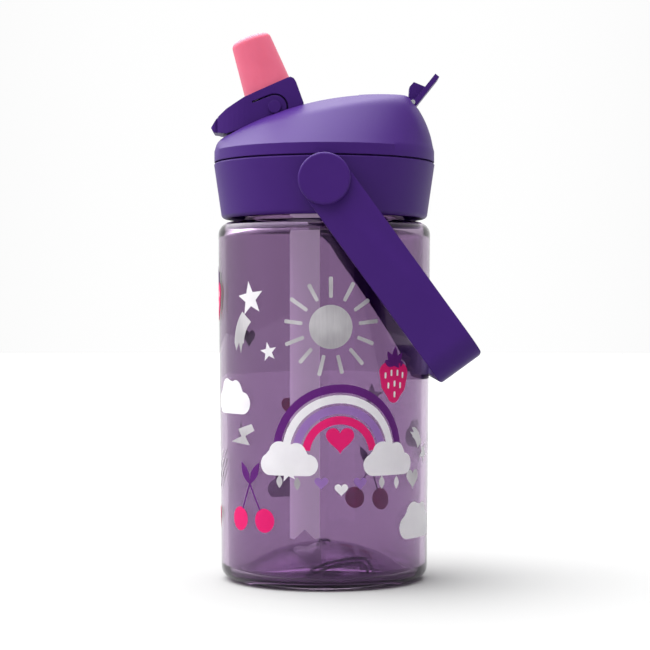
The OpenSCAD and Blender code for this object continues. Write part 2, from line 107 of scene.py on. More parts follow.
def alone(piece):
    """Makes a piece the only one selected, and the active one."""
    bpy.ops.object.select_all(action="DESELECT")
    piece.select_set(True)
    bpy.context.view_layer.objects.active = piece
    return piece


def named(name):
    """Names the piece that was added last, and its mesh."""
    piece = bpy.context.active_object
    piece.name = piece.data.name = name
    return piece


def settle(piece):
    """Applies a piece's place and turn, so that its object sits at the origin."""
    alone(piece)
    bpy.ops.object.transform_apply(location=True, rotation=True, scale=True)
    return piece


def finish_with(piece, kind, **settings):
    """Adds one modifier and applies it."""
    alone(piece)
    modifier = piece.modifiers.new(kind.title(), kind)
    for setting, value in settings.items():
        setattr(modifier, setting, value)
    bpy.ops.object.modifier_apply(modifier=modifier.name)
    return piece


def cut(piece, *tools, operation="DIFFERENCE"):
    """Takes tools out of a piece, or joins or keeps what they cover, and removes the tools."""
    for tool in tools:
        finish_with(piece, "BOOLEAN", operation=operation, object=tool, solver="EXACT")
        bpy.data.objects.remove(tool)
    return piece


def box(low, high, name="tool"):
    low, high = Vector(low), Vector(high)
    bpy.ops.mesh.primitive_cube_add(size=1, location=(low + high) / 2)
    piece = named(name)
    piece.scale = high - low
    return settle(piece)


def rod(radius, low, high, axis=UP, turns=96, name="tool"):
    """A cylinder between two points that lie on a line along axis."""
    low, high = Vector(low), Vector(high)
    bpy.ops.mesh.primitive_cylinder_add(
        radius=radius, depth=(high - low).length, vertices=turns, location=(low + high) / 2
    )
    piece = named(name)
    piece.rotation_mode = "QUATERNION"
    piece.rotation_quaternion = Vector(UP).rotation_difference(Vector(axis))
    return settle(piece)


def smooth(piece, angle=35):
    alone(piece)
    bpy.ops.object.shade_smooth_by_angle(angle=math.radians(angle))
    return piece


def wire(name, points):
    """A line of edges through points, extruded point by point from one vertex."""
    bpy.ops.mesh.primitive_plane_add(size=MM)
    piece = named(name)
    bpy.ops.object.mode_set(mode="EDIT")
    bpy.ops.mesh.select_all(action="SELECT")
    bpy.ops.mesh.merge(type="CENTER")
    bpy.ops.transform.translate(value=points[0])
    for here, there in zip(points, points[1:]):
        step = Vector(there) - Vector(here)
        bpy.ops.mesh.extrude_vertices_move(TRANSFORM_OT_translate={"value": step})
    bpy.ops.mesh.select_all(action="SELECT")
    return piece


def lathe(name, outline, turns=128, closed=False):
    """Spins an outline of (radius, height) about the Z axis, and closes its seam and poles."""
    if closed:
        outline = [*outline, outline[0]]
    piece = wire(name, [(r, 0, z) for r, z in outline])
    bpy.ops.mesh.spin(steps=turns, angle=math.tau, center=(0, 0, 0), axis=UP)
    bpy.ops.mesh.select_all(action="SELECT")
    bpy.ops.mesh.remove_doubles(threshold=0.002 * MM)
    bpy.ops.mesh.normals_make_consistent(inside=False)
    bpy.ops.object.mode_set(mode="OBJECT")
    return piece


def arc(cx, cz, radius, start, end, steps=8):
    """Points of an arc, with its angles in degrees."""
    angles = [math.radians(start + (end - start) * i / steps) for i in range(steps + 1)]
    return [(cx + radius * math.cos(a), cz + radius * math.sin(a)) for a in angles]


# ---------- materials ----------


class Value:
    """A number or colour in a material. Plain arithmetic on it adds the nodes."""

    def __init__(self, finish, socket):
        self.finish, self.socket = finish, socket

    def maths(self, operation, *values):
        return self.finish.node("Math", {"operation": operation}, dict(enumerate(values)))

    def __add__(self, other):
        return self.maths("ADD", self, other)

    def __sub__(self, other):
        return self.maths("SUBTRACT", self, other)

    def __mul__(self, other):
        return self.maths("MULTIPLY", self, other)

    def __truediv__(self, other):
        return self.maths("DIVIDE", self, other)

    __radd__ = __add__
    __rmul__ = __mul__

    def clamped(self):
        return self.finish.node("Clamp", None, {0: self})


class Finish:
    """A material with one Principled shader."""

    def __init__(self, name, **surface):
        self.material = bpy.data.materials.new(name)
        self.material.use_nodes = True
        self.tree = self.material.node_tree
        self.shader = self.tree.nodes["Principled BSDF"]
        for key, value in surface.items():
            self.shader.inputs[key.replace("_", " ").title().replace("Ior", "IOR")].default_value = value
        self.place = self.node("TexCoord", output="Object")

    def node(self, kind, settings=None, inputs=None, output=0):
        made = self.tree.nodes.new("ShaderNode" + kind)
        for key, value in (settings or {}).items():
            setattr(made, key, value)
        for key, value in (inputs or {}).items():
            if isinstance(value, Value):
                self.tree.links.new(value.socket, made.inputs[key])
            else:
                made.inputs[key].default_value = value
        return Value(self, made.outputs[output])

    def noise(self, size, detail=3.0, stretch=(1, 1, 1)):
        """Noise from 0 to 1 whose blotches are about size across, in metres."""
        place = self.node("Mapping", None, {"Vector": self.place, "Scale": stretch})
        return self.node("TexNoise", None, {"Vector": place, "Scale": 1 / size, "Detail": detail})

    def between(self, share, low, high):
        """A colour between low and high."""
        return self.node("Mix", {"data_type": "RGBA"}, {0: share, 6: (*low, 1), 7: (*high, 1)}, output=2)

    def drive(self, socket, value):
        self.tree.links.new(value.socket, self.shader.inputs[socket])

    def relief(self, height, depth, rounding=None):
        """Bumps of a depth in metres, on edges that are rounded off where rounding is given."""
        inputs = {"Height": height, "Distance": depth, "Strength": 1.0}
        if rounding:
            inputs["Normal"] = self.node("Bevel", {"samples": 4}, {"Radius": rounding})
        self.drive("Normal", self.node("Bump", None, inputs))


def linear(red, green, blue):
    """A colour that is given as 8-bit display values."""
    return tuple(
        c / 12.92 if c <= 0.04045 else ((c + 0.055) / 1.055) ** 2.4
        for c in (red / 255, green / 255, blue / 255)
    )


def moulded_plastic(name, dark, light, roughness, grain, rounding):
    """Satin moulded plastic: a fine spark-eroded grain, cloudy gloss and softened edges."""
    finish = Finish(name, specular_ior_level=0.13, ior=1.49)
    cloud = finish.noise(9 * MM, detail=4)
    fine = finish.noise(grain, detail=2)
    finish.drive("Base Color", finish.between(cloud * 0.7 + fine * 0.3, dark, light))
    finish.drive("Roughness", fine * 0.10 + cloud * 0.06 + (roughness - 0.08))
    finish.relief(fine, 0.02 * MM, rounding)
    return finish.material


def clear_plastic(name, tint, roughness, ior):
    """Clear tinted plastic: glossy, with the faint flow lines of its mould."""
    finish = Finish(
        name, base_color=(*tint, 1), transmission_weight=1.0, ior=ior, specular_tint=(0.72, 0.5, 0.85, 1)
    )
    flow = finish.noise(26 * MM, detail=1, stretch=(1, 1, 0.35))
    haze = finish.noise(3 * MM, detail=3)
    finish.drive("Roughness", (haze - 0.5).clamped() * 0.03 + roughness)
    finish.relief(flow, 0.10 * MM)
    return finish.material


def milky_plastic_with_painted_glow(name, low, high):
    """Translucent plastic, cloudy, with faint draw lines along it, and a painted glow: emission in its own pale
    colour that makes it brighter than the light reaching it.
    """
    finish = Finish(name, ior=1.4, emission_strength=0.55)
    # painted light: the emission is a painted glow, so that the straw inside the tinted body reads lighter than
    # the light it gets
    finish.shader.inputs["Emission Color"].default_value = (*high, 1)
    lines = finish.noise(0.9 * MM, detail=2, stretch=(1, 1, 0.03))
    cloud = finish.noise(7 * MM, detail=3)
    finish.drive("Base Color", finish.between(cloud * 0.6 + lines * 0.4, low, high))
    finish.drive("Roughness", cloud * 0.1 + 0.3)
    finish.relief(lines, 0.01 * MM)
    return finish.material


def soft_silicone(name, low, high, roughness, glow):
    """Silicone: soft gloss, a slight glow through its thickness and a fine dusty grain."""
    finish = Finish(name, subsurface_weight=glow, subsurface_scale=1.5 * MM, ior=1.41)
    finish.shader.inputs["Subsurface Radius"].default_value = (1.0, 0.35, 0.25)
    mottle = finish.noise(5 * MM, detail=4)
    grain = finish.noise(0.35 * MM, detail=2)
    finish.drive("Base Color", finish.between(mottle, low, high))
    finish.drive("Roughness", grain * 0.12 + mottle * 0.08 + (roughness - 0.1))
    finish.relief(grain, 0.012 * MM, 0.3 * MM)
    return finish.material


def printed_ink(name, low, high):
    """Screen-printed ink: slightly see-through and uneven, with the mesh's fine weave in its surface."""
    finish = Finish(name, specular_ior_level=0.3, transmission_weight=0.42, ior=1.2)
    coverage = finish.noise(6 * MM, detail=3)
    weave = finish.noise(0.25 * MM, detail=1)
    finish.drive("Base Color", finish.between(coverage, low, high))
    finish.drive("Roughness", weave * 0.15 + 0.38)
    finish.relief(weave, 0.008 * MM)
    return finish.material


def printed_foil(name):
    """Silver foil print: brushed streaks and a soft shift between pale and dark grey."""
    finish = Finish(name, metallic=0.4)
    drift = finish.noise(16 * MM, detail=2)
    streak = finish.noise(0.5 * MM, detail=2, stretch=(1, 1, 0.1))
    shade = drift * 1.5 + streak * 0.25 - 0.4
    dark, pale = linear(128, 124, 130), linear(206, 203, 207)
    finish.drive("Base Color", finish.between(shade.clamped(), dark, pale))
    finish.drive("Roughness", streak * 0.2 + 0.28)
    finish.relief(streak, 0.006 * MM)
    return finish.material


def steel(name):
    finish = Finish(name, metallic=1.0)
    lines = finish.noise(0.12 * MM, detail=2, stretch=(1, 0.05, 1))
    finish.drive("Base Color", finish.between(lines, linear(168, 170, 174), linear(205, 207, 210)))
    finish.drive("Roughness", lines * 0.2 + 0.22)
    finish.relief(lines, 0.004 * MM)
    return finish.material


CAP_PLASTIC = moulded_plastic(
    "cap_plastic", (0.034, 0.0072, 0.112), (0.041, 0.0096, 0.128), 0.44, 0.30 * MM, 0.35 * MM
)
CLEAR_SHELL = clear_plastic("clear_shell", (0.428, 0.318, 0.46), 0.015, 1.5)
# painted shade: the near-black tint of the mould marks stands for the dark look that refraction gives them, as
# their plastic is the body's own
CLEAR_PAINTED_DARK = clear_plastic("clear_painted_dark", (0.05, 0.02, 0.07), 0.05, 1.5)
SMOKE_PLASTIC = milky_plastic_with_painted_glow("smoke_plastic", (0.80, 0.79, 0.81), (0.88, 0.87, 0.89))
SPOUT_SILICONE = soft_silicone("spout_silicone", linear(196, 84, 110), linear(204, 92, 118), 0.42, 0.2)
SEAL_SILICONE = soft_silicone("seal_silicone", linear(214, 212, 218), linear(228, 226, 230), 0.5, 0.2)
PIN_STEEL = steel("pin_steel")
INK_WHITE = printed_ink("ink_white", linear(228, 226, 230), linear(244, 243, 245))
INK_MAGENTA = printed_ink("ink_magenta", linear(222, 30, 112), linear(232, 40, 122))
INK_PURPLE = printed_ink("ink_purple", linear(96, 34, 118), linear(106, 40, 128))
INK_LILAC = printed_ink("ink_lilac", linear(150, 112, 178), linear(162, 124, 190))
FOIL_SILVER = printed_foil("foil_silver")


def wear(piece, material, body):
    """Gives a new piece its material and the CAD body it rides on."""
    piece.data.materials.clear()
    piece.data.materials.append(material)
    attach(piece, body)
    return piece


# ---------- bottle ----------


def punt_z(r, top):
    """Height of the punt's dome at radius r."""
    rise = top - 0.8 * MM
    sphere_r = (RING_IN_R**2 + rise**2) / (2 * rise)
    return top - sphere_r + math.sqrt(sphere_r**2 - r**2)


def bottle():
    """Clear body in one wall, from the punt round the foot, up to the rim and back down inside."""
    inner_corner = CORNER_R - WALL / 2
    neck_in = NECK_R - NECK_WALL
    radii = [RING_IN_R * i / 20 for i in range(21)]
    nub_r = 2.0 * MM
    under = [(0, PUNT_H + 0.6 * MM), (1.2 * MM, PUNT_H + 0.6 * MM)]
    under += [(r, punt_z(r, PUNT_H)) for r in radii[1:]]
    foot = [(RING_IN_R + 0.8 * MM, 0), *arc(FOOT_R - CORNER_R, CORNER_R, CORNER_R, -90, 0, 14)]
    sides = [
        (FOOT_R + (BODY_R - FOOT_R) * i / 12, CORNER_R + (SHOULDER_Z - 2 * CORNER_R) * i / 12)
        for i in range(1, 12)
    ]
    shoulder = [
        *arc(BODY_R - CORNER_R, SHOULDER_Z - CORNER_R, CORNER_R, 0, 90, 14),
        *arc(NECK_R + 1.5 * MM, SHOULDER_Z + 1.7 * MM, 1.5 * MM, 270, 180, 6),
        (NECK_R, RIM_Z - 0.6 * MM),
        (NECK_R - 0.6 * MM, RIM_Z),
    ]
    inside = [
        (neck_in + 0.5 * MM, RIM_Z),
        (neck_in, RIM_Z - 0.5 * MM),
        *arc(neck_in + 2 * MM, SHOULDER_Z - WALL + 2 * MM, 2 * MM, 180, 270, 6),
        *arc(BODY_R - WALL - inner_corner, SHOULDER_Z - WALL - inner_corner, inner_corner, 90, 0, 12),
        *arc(FOOT_R - WALL - inner_corner, FLOOR_T + inner_corner, inner_corner, 0, -90, 12),
    ]
    floor = [(r, punt_z(r, PUNT_H) + FLOOR_T) for r in reversed(radii[2:])]
    top = PUNT_H + FLOOR_T
    nub = [
        (nub_r + 0.4 * MM, top - 0.02 * MM),
        (nub_r - 0.1 * MM, top + 0.7 * MM),
        (nub_r - 0.4 * MM, top + 0.9 * MM),
        (0, top + 0.9 * MM),
    ]
    piece = lathe("bottle_shell", under + foot + sides + shoulder + inside + floor + nub, turns=160)
    cut(piece, thread(), operation="UNION")
    smooth(piece, 32)
    wear(piece, CLEAR_SHELL, "bottle")
    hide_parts("bottle_body")
    return piece


def thread():
    """The ridge that the cap screws onto: a trapezium section turned up round the neck."""
    root, crest, foot_z = NECK_R - 0.5 * MM, NECK_R + 1.2 * MM, SHOULDER_Z + 6.9 * MM
    half_root, half_crest = 1.1 * MM, 0.5 * MM
    section = [(root, -half_root), (crest, -half_crest), (crest, half_crest), (root, half_root)]
    ridge = wire("thread", [(r, 0, foot_z + z) for r, z in [*section, section[0]]])
    bpy.ops.mesh.remove_doubles(threshold=0.01 * MM)
    bpy.ops.object.mode_set(mode="OBJECT")
    finish_with(
        ridge, "SCREW", axis="Z", angle=THREAD_TURNS * math.tau, screw_offset=THREAD_TURNS * THREAD_LEAD,
        steps=90, render_steps=90, use_merge_vertices=True,
    )
    bpy.ops.object.mode_set(mode="EDIT")
    # the two ends, which the screw leaves open
    for turned, at in ((0, 0), (THREAD_TURNS * math.tau, THREAD_TURNS * THREAD_LEAD)):
        bpy.ops.mesh.select_all(action="DESELECT")
        bpy.ops.object.mode_set(mode="OBJECT")
        for vertex in ridge.data.vertices:
            along = Vector((math.cos(turned), math.sin(turned), 0))
            beside = vertex.co.cross(along).z
            vertex.select = abs(beside) < 0.05 * MM and abs(vertex.co.z - foot_z - at) < 1.2 * MM
        bpy.ops.object.mode_set(mode="EDIT")
        bpy.ops.mesh.edge_face_add()
    bpy.ops.mesh.select_all(action="SELECT")
    bpy.ops.mesh.normals_make_consistent(inside=False)
    bpy.ops.object.mode_set(mode="OBJECT")
    return ridge


def mould_marks():
    """What the mould leaves on the inside floor: a thin ridge round a bent wedge, and a nub in the middle. They
    are tinted near-black, a painted shade for the dark look that their refraction gives them.
    """
    steps = 8
    corners = [(-4.4, -24.5), (14.2, -14.0), (16.8, -22.0), (14.6, -22.6), (12.8, -17.6), (-3.0, -26.0)]
    points = []
    for (x0, y0), (x1, y1) in zip(corners, [*corners[1:], corners[0]]):
        for i in range(steps):
            x, y = (x0 + (x1 - x0) * i / steps) * MM, (y0 + (y1 - y0) * i / steps) * MM
            points.append((x, y, punt_z(math.hypot(x, y), PUNT_H) + FLOOR_T + 0.3 * MM))
    rim = wire("mould_marks", [*points, points[0]])
    bpy.ops.mesh.remove_doubles(threshold=0.01 * MM)
    bpy.ops.object.mode_set(mode="OBJECT")
    alone(rim)
    bpy.ops.object.convert(target="CURVE")
    rim.data.bevel_depth = 0.45 * MM
    rim.data.bevel_resolution = 3
    bpy.ops.object.convert(target="MESH")
    top = PUNT_H + FLOOR_T - 0.2 * MM
    nub_outline = [(0, top), (1.2 * MM, top), (0.9 * MM, top + 0.9 * MM), (0, top + 1.1 * MM)]
    nub = lathe("nub", nub_outline, turns=48)
    rim.select_set(True)
    bpy.context.view_layer.objects.active = rim
    nub.select_set(True)
    bpy.ops.object.join()
    smooth(rim, 40)
    return wear(rim, CLEAR_PAINTED_DARK, "bottle")


# ---------- dome ----------


def lens(radius, fillet, rim_r):
    """The crown: a broad spherical cap with a rounded rim, tilted down towards the front."""
    sink = math.sqrt((radius - fillet) ** 2 - rim_r**2)
    join = math.degrees(math.atan2(rim_r, sink))
    outline = [(0, radius - sink), *arc(0, -sink, radius, 88, 90 - join, 24)]
    outline += [*arc(rim_r, 0, fillet, 89 - join, -30, 28), (0, -fillet / 2)]
    piece = lathe("crown", outline, turns=256)
    piece.rotation_euler = (0, -CROWN_TILT, 0)
    piece.location = (RING_X, 0, RING_Z)
    settle(piece)
    piece.scale = (1, CROWN_SQUEEZE, 1)
    return settle(piece)


def dome_skin(shrink=0.0):
    """The dome's closed outer form: a fine grid drawn onto the hull of the crease and the crown."""
    base_r = CAP_R - 0.1 * MM - shrink
    rear_r = REAR_R - shrink
    hull = lens(CROWN_R - shrink, CROWN_FILLET - shrink, RING_R)
    bpy.ops.mesh.primitive_circle_add(vertices=256, radius=base_r, location=(0, 0, CREASE_Z))
    named("crease")
    hull.select_set(True)
    bpy.context.view_layer.objects.active = hull
    bpy.ops.object.join()
    bpy.ops.object.mode_set(mode="EDIT")
    bpy.ops.mesh.select_all(action="SELECT")
    bpy.ops.mesh.convex_hull(delete_unused=True, use_existing_faces=False)
    bpy.ops.object.mode_set(mode="OBJECT")
    well_below = DOME_Z - 20 * MM
    rear = arc(base_r - rear_r, DOME_Z, rear_r, 0, 58, 24)
    limit = [(0, well_below), (base_r, well_below), *rear, (0, DOME_Z + rear_r)]
    cut(hull, lathe("limit", limit, turns=192), operation="INTERSECT")

    bpy.ops.mesh.primitive_uv_sphere_add(
        segments=192, ring_count=112, radius=base_r, location=(0, 0, CREASE_Z)
    )
    skin = named("dome_skin")
    settle(skin)
    bpy.ops.object.mode_set(mode="EDIT")
    bpy.ops.mesh.select_all(action="SELECT")
    bpy.ops.mesh.bisect(plane_co=(0, 0, CREASE_Z), plane_no=UP, clear_inner=True, threshold=0.001 * MM)
    bpy.ops.object.mode_set(mode="OBJECT")
    for vertex in skin.data.vertices:
        vertex.select = vertex.co.z > CREASE_Z + 0.01 * MM
    group = skin.vertex_groups.new(name="above_crease")
    group.add([v.index for v in skin.data.vertices if v.select], 1.0, "REPLACE")
    finish_with(
        skin, "SHRINKWRAP", target=hull, wrap_method="PROJECT", vertex_group="above_crease",
        use_negative_direction=True, use_positive_direction=True,
    )
    bpy.data.objects.remove(hull)
    group.remove([v.index for v in skin.data.vertices if v.co.z < CREASE_Z + 1.2 * MM])
    finish_with(skin, "SMOOTH", factor=0.5, iterations=6, vertex_group="above_crease")
    alone(skin)
    bpy.ops.object.mode_set(mode="EDIT")
    bpy.ops.mesh.select_all(action="DESELECT")
    bpy.ops.mesh.select_non_manifold()
    bpy.ops.mesh.extrude_region_move(
        TRANSFORM_OT_translate={"value": (0, 0, DOME_Z - CREASE_Z - (MM if shrink else 0))}
    )
    bpy.ops.mesh.edge_face_add()
    bpy.ops.mesh.select_all(action="SELECT")
    bpy.ops.mesh.normals_make_consistent(inside=False)
    bpy.ops.object.mode_set(mode="OBJECT")
    return skin


def channel(grow=0.0):
    """What the folded spout and its swinging carrier need: tools to cut out of the dome."""
    half = CHANNEL_W / 2 + (2 * MM if grow else 0)
    floor_z = SPOUT_HINGE.z - 9.5 * MM - grow
    rear = SPOUT_HINGE.x + 29.1 * MM + grow
    top = dome_high.z + 10 * MM
    trough = box((SPOUT_HINGE.x, -half, floor_z), (rear, half, top))
    front = box((-60 * MM, -half, CREASE_Z + 5.2 * MM - grow), (SPOUT_HINGE.x + MM, half, top))
    near, far = (Vector((SPOUT_HINGE.x, y, SPOUT_HINGE.z)) for y in (-half, half))
    swing = rod(SWING_R + grow, near, far, ALONG_Y)
    cut(trough, front, swing, operation="UNION")
    return trough


def flap_seat():
    """What the closed flap, its barrel and its nose need."""
    half, top = 6.4 * MM, dome_high.z + 10 * MM
    x, z = FLAP_HINGE.x, FLAP_HINGE.z
    front = x - 13.3 * MM
    seat_z = z - 0.55 * MM
    seat = box((front, -half, seat_z), (x + 40 * MM, half, top))
    barrel = box((x - 2.2 * MM, -half, z - 1.9 * MM), (x + 40 * MM, half, top))
    finger = box((front - 1.5 * MM, -4 * MM, seat_z + 0.8 * MM), (front + 4.5 * MM, 4 * MM, top))
    pocket = rod(8 * MM, (x, -3.9 * MM, z), (x, 3.9 * MM, z), ALONG_Y)
    keep = box((x - 20 * MM, -20 * MM, z - 4.8 * MM), (x, 20 * MM, top))
    cut(pocket, keep, operation="INTERSECT")
    cut(seat, barrel, finger, pocket, operation="UNION")
    return seat


def dome():
    """Domed top of the cap, hollow, with the spout's channel and the flap's seat cut into it."""
    hollow = dome_skin(shrink=DOME_WALL)
    x, z = FLAP_HINGE.x, FLAP_HINGE.z
    cut(hollow, channel(grow=1.6 * MM))
    cut(hollow, box((x - 15.3 * MM, -10.4 * MM, z - 6.6 * MM), (x + 40 * MM, 10.4 * MM, z + 30 * MM)))
    piece = dome_skin()
    cut(piece, hollow)
    lip_r, lip_top = CAP_R - LIP_GAP, DOME_Z + MM
    lip = [
        (lip_r, dome_low.z), (lip_r, lip_top), (lip_r - LIP_WALL, lip_top), (lip_r - LIP_WALL, dome_low.z)
    ]
    cut(piece, lathe("lip", lip, turns=160, closed=True), operation="UNION")
    hinge = SPOUT_HINGE
    cut(
        piece,
        channel(),
        flap_seat(),
        rod(PORT_R, (hinge.x, 0, DOME_Z), (hinge.x, 0, DOME_Z + 20 * MM)),
        rod(TRUNNION_R, (hinge.x, -12.2 * MM, hinge.z), (hinge.x, 12.2 * MM, hinge.z), ALONG_Y, 48),
        rod(PIN_R, (x, -9.4 * MM, z), (x, 9.4 * MM, z), ALONG_Y, 32),
        rod(VENT_R, (x - 5.2 * MM, 0, DOME_Z), (x - 5.2 * MM, 0, DOME_Z + 30 * MM), UP, 32),
    )
    piece.name = piece.data.name = "dome_top"
    smooth(piece, 28)
    wear(piece, CAP_PLASTIC, "cap")
    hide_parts("cap_dome")
    return piece


# ---------- handle ----------


def handle():
    """The bail: a strap bent round in plan with an eye at each end, rounded edges, lying at rest."""
    half, reach, bend = handle_high.y - STRAP_T / 2, STRAP_REACH - STRAP_T / 2, STRAP_BEND_R
    plan = [(0, -half), *arc(reach - bend, bend - half, bend, -90, 0, 14)]
    plan += [*arc(reach - bend, half - bend, bend, 0, 90, 14), (0, half)]
    piece = wire("handle_strap", [(x, y, -STRAP_HALF_W) for x, y in plan])
    bpy.ops.mesh.extrude_region_move(TRANSFORM_OT_translate={"value": (0, 0, 2 * STRAP_HALF_W)})
    bpy.ops.object.mode_set(mode="OBJECT")
    finish_with(piece, "SOLIDIFY", thickness=STRAP_T, offset=0, use_even_offset=True)
    for side in (-1, 1):
        low, high = sorted((side * (half - STRAP_T / 2), side * (half + STRAP_T / 2)))
        cut(piece, rod(STRAP_HALF_W, (0, low, 0), (0, high, 0), ALONG_Y), operation="UNION")
    cut(piece, rod(EYE_R, (0, -0.1, 0), (0, 0.1, 0), ALONG_Y))

    # the far corners, rounded as seen from the side
    end, side = STRAP_REACH - STRAP_CORNER_R, STRAP_HALF_W - STRAP_CORNER_R
    limit = box((-12 * MM, -0.1, -STRAP_HALF_W - 0.1 * MM), (end, 0.1, STRAP_HALF_W + 0.1 * MM))
    corners = [rod(STRAP_CORNER_R, (end, -0.1, z), (end, 0.1, z), ALONG_Y, 64) for z in (-side, side)]
    cut(limit, box((0, -0.1, -side), (STRAP_REACH + 0.1 * MM, 0.1, side)), *corners, operation="UNION")
    cut(piece, limit, operation="INTERSECT")
    alone(piece)
    bpy.ops.object.mode_set(mode="EDIT")
    bpy.ops.mesh.select_all(action="SELECT")
    bpy.ops.mesh.remove_doubles(threshold=0.005 * MM)
    bpy.ops.mesh.dissolve_limited(angle_limit=math.radians(1))
    bpy.ops.mesh.normals_make_consistent(inside=False)
    bpy.ops.object.mode_set(mode="OBJECT")
    finish_with(
        piece, "BEVEL", width=STRAP_EDGE, segments=4, limit_method="ANGLE", angle_limit=math.radians(50),
        harden_normals=False,
    )
    piece.matrix_world = Matrix.Translation(HANDLE_PIVOT) @ Matrix.Rotation(handle_rest(), 4, "Y")
    settle(piece)
    smooth(piece, 30)
    wear(piece, CAP_PLASTIC, "handle")
    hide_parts("handle")
    return piece


def handle_rest():
    """Angle below the horizontal at which the strap hangs, found from the CAD strap's lowest corner."""
    drop = HANDLE_PIVOT.z - handle_low.z - STRAP_CORNER_R
    end, side = STRAP_REACH - STRAP_CORNER_R, STRAP_HALF_W - STRAP_CORNER_R
    low, high = 0.0, math.pi / 2
    for _ in range(60):
        middle = (low + high) / 2
        if end * math.sin(middle) + side * math.cos(middle) < drop:
            low = middle
        else:
            high = middle
    return low


# ---------- printed motifs ----------

PRINT_T = 0.06 * MM
PRINT_GAP = 0.05 * MM
STRIP = 1.5  # width of the strips that a shape is cut into to bend round the wall, in millimetres


def flat(name, points):
    """A closed flat shape in the XZ plane, from its (x, z) outline in millimetres."""
    piece = wire(name, [(x * MM, 0, z * MM) for x, z in points])
    bpy.ops.mesh.edge_face_add()
    bpy.ops.object.mode_set(mode="OBJECT")
    return piece


def star(points=5, outer=5.0, inner=2.3, turn=0.0):
    outline = []
    for i in range(points * 2):
        angle = math.radians(90 + turn + 180 * i / points)
        r = inner if i % 2 else outer
        outline.append((r * math.cos(angle), r * math.sin(angle)))
    return outline


def disc(radius, steps=40):
    return arc(0, 0, radius, 0, 360 - 360 / steps, steps - 1)


def heart(size):
    """Two round lobes that run down to a point."""
    outline = []
    for i in range(48):
        t = math.tau * i / 48
        x = 16 * math.sin(t) ** 3
        z = 13 * math.cos(t) - 5 * math.cos(2 * t) - 2 * math.cos(3 * t) - math.cos(4 * t)
        outline.append((x * size / 32, z * size / 32))
    return outline


def cloud(width):
    """A flat foot under four round puffs."""
    s = width / 30
    return [
        (x * s, z * s)
        for x, z in [
            *arc(-9, -3.5, 5, 270, 115, 10),
            *arc(-4, 1.5, 5.5, 165, 60, 10),
            *arc(4.2, 1.8, 4.6, 120, 20, 8),
            *arc(9.5, -3.6, 4.9, 88, -90, 12),
        ]
    ]


def ray(angle, start, end, width):
    """A tapered, blunt-ended stroke that points away from the middle."""
    a = math.radians(angle)
    along, across = (math.cos(a), math.sin(a)), (-math.sin(a), math.cos(a))
    one_side = [(start, -0.6), (start + 0.3, -0.9), (end - 0.4, -1), (end, -0.6)]
    corners = one_side + [(d, -w) for d, w in reversed(one_side)]
    return [
        (along[0] * d + across[0] * w * width / 2, along[1] * d + across[1] * w * width / 2)
        for d, w in corners
    ]


def band(radius, width, start=180, end=0):
    """A half-ring, as in a rainbow."""
    return [*arc(0, 0, radius, start, end, 28), *arc(0, 0, radius - width, end, start, 28)]


def moved(outline, x=0.0, z=0.0, turn=0.0, size=1.0):
    c, s = math.cos(math.radians(turn)), math.sin(math.radians(turn))
    return [((px * c - pz * s) * size + x, (px * s + pz * c) * size + z) for px, pz in outline]


PRINTS = {"white": [], "magenta": [], "purple": [], "lilac": [], "silver": []}


def put(ink, outline, azimuth, height, x=0.0, z=0.0, turn=0.0, size=1.0):
    """Adds one flat shape to an ink, centred at an azimuth in degrees from the side that faces -Y."""
    PRINTS[ink].append((moved(outline, x, z, turn, size), azimuth, height))


def sun(azimuth, height):
    put("silver", disc(7.3), azimuth, height)
    for i in range(13):
        put("silver", ray(90 + i * 360 / 13, 9.6, 16.6 - 0.7 * (i % 2), 1.35), azimuth, height)


def shooting_star(azimuth, height, turn=0.0, size=1.0):
    """A star with one ragged brush stroke that curves away under it."""
    put("white", star(outer=5.9, inner=2.5, turn=8), azimuth, height, turn=turn, size=size)
    outer_side = arc(-14.6, -15.6, 15.4, 46, 2, 6)
    inner_side = arc(-14.6, -15.6, 10.0, 2, 50, 6)
    tips = [(-0.4, -17.6), (-2.0, -14.9), (-2.9, -18.6), (-4.0, -15.2)]
    stroke = [(-x - 7.9, z + 0.2) for x, z in [*outer_side, *tips, *inner_side]]
    put("silver", stroke, azimuth, height, turn=turn, size=size)


def strawberry(azimuth, height, turn=0.0):
    """A berry with round shoulders, a crown of pointed leaves and rows of pale seeds."""
    body = [*arc(-3.0, 2.6, 3.4, 175, 70, 8), *arc(3.0, 2.6, 3.4, 110, 5, 8), (5.2, -2.6)]
    body += [*arc(0, -4.6, 2.8, -20, -160, 8), (-5.2, -2.6)]
    put("magenta", body, azimuth, height, turn=turn)
    for lean, length in ((-70, 4.6), (-34, 5.8), (2, 6.6), (38, 5.8), (72, 4.6)):
        put("purple", leaf(length, 2.4), azimuth, height, z=4.9, turn=turn - lean)
    rows = (
        (-3.8, 1.8), (-1.3, 2.6), (1.4, 2.6), (3.9, 1.8),
        (-2.6, -1.6), (0.1, -1.0), (2.7, -1.6),
        (0.1, -4.6),
    )
    for x, z in rows:
        put("white", ray(88, -1.0, 1.0, 0.8), azimuth, height, x=x, z=z)


def leaf(length, width):
    """A pointed leaf that stands up from its stalk."""
    bow = [(width / 2 * math.sin(math.pi * i / 10), length * i / 10) for i in range(11)]
    return bow + [(-x, z) for x, z in reversed(bow[1:-1])]


def cherries(azimuth, height):
    joint = (-0.6, 12.0)
    for x, turn in ((-5.8, 30), (5.8, -30)):
        put("magenta", disc(4.0, 32), azimuth, height, x=x)
        lean = math.degrees(math.atan2(joint[1], joint[0] - x))
        put("purple", ray(lean, 3.8, math.hypot(joint[0] - x, joint[1]), 0.6), azimuth, height, x=x)
        put("purple", leaf(8.6, 3.0), azimuth, height, x=joint[0], z=joint[1] - 0.2, turn=turn)


def bolt(azimuth, height, size=1.0):
    outline = [(-1.2, 5.4), (1.0, 5.4), (0.4, 1.2), (3.6, 1.4), (-1.8, -6.0), (-0.4, -0.4), (-3.0, -0.6)]
    put("silver", outline, azimuth, height, size=1.15 * size, turn=-58)


